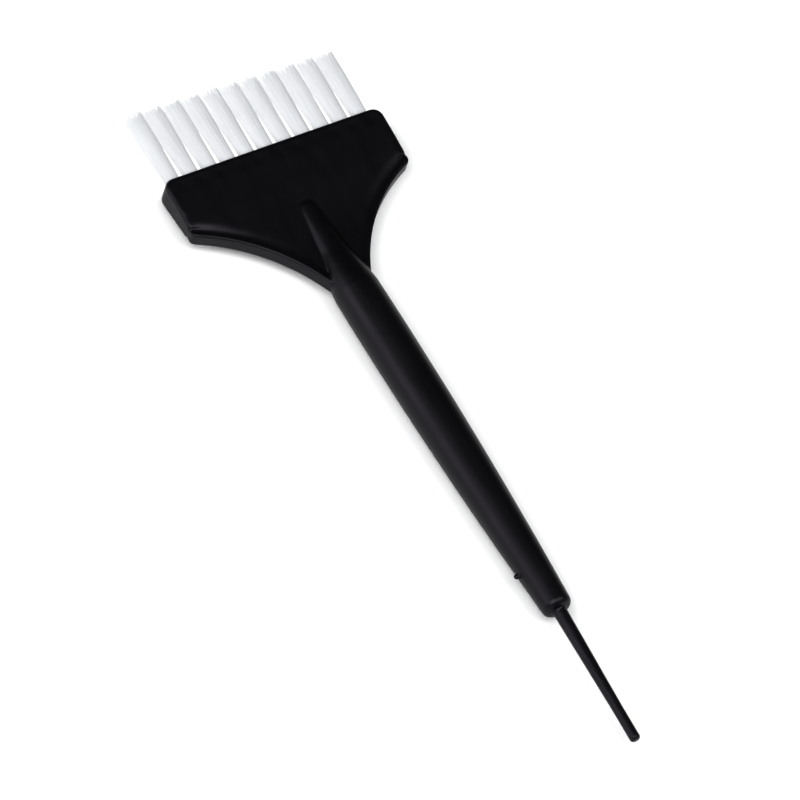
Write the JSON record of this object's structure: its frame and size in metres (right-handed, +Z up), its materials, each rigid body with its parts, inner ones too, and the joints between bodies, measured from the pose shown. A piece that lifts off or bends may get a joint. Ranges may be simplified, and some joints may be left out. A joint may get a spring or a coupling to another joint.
{
  "type": "tint brush",
  "caption": "Wide hair tint brush: flat wedge head with a single row of straight soft bristle tufts, round tapering grip and a thin straight tail for parting hair.",
  "frame": {"origin": "on the surface that the brush lies on, below the middle of its overall box", "axes": "+X across the head, +Y along the brush towards the bristle tips, +Z up, normal to the head's flat faces"},
  "size_m": [0.0646, 0.217, 0.0125],
  "materials": {
    "handle_plastic": "satin, as moulded",
    "bristle_nylon": "translucent white filament",
    "anchor_wire": "plain drawn wire"
  },
  "bodies": {
    "root": {"handle": "handle_plastic", "tuft_01": "bristle_nylon", "tuft_02": "bristle_nylon", "tuft_03": "bristle_nylon", "tuft_04": "bristle_nylon", "tuft_05": "bristle_nylon", "tuft_06": "bristle_nylon", "tuft_07": "bristle_nylon", "tuft_08": "bristle_nylon", "tuft_09": "bristle_nylon", "tuft_10": "bristle_nylon", "tuft_11": "bristle_nylon", "anchor_01": "anchor_wire", "anchor_02": "anchor_wire", "anchor_03": "anchor_wire", "anchor_04": "anchor_wire", "anchor_05": "anchor_wire", "anchor_06": "anchor_wire", "anchor_07": "anchor_wire", "anchor_08": "anchor_wire", "anchor_09": "anchor_wire", "anchor_10": "anchor_wire", "anchor_11": "anchor_wire"}
  },
  "joints": []
}
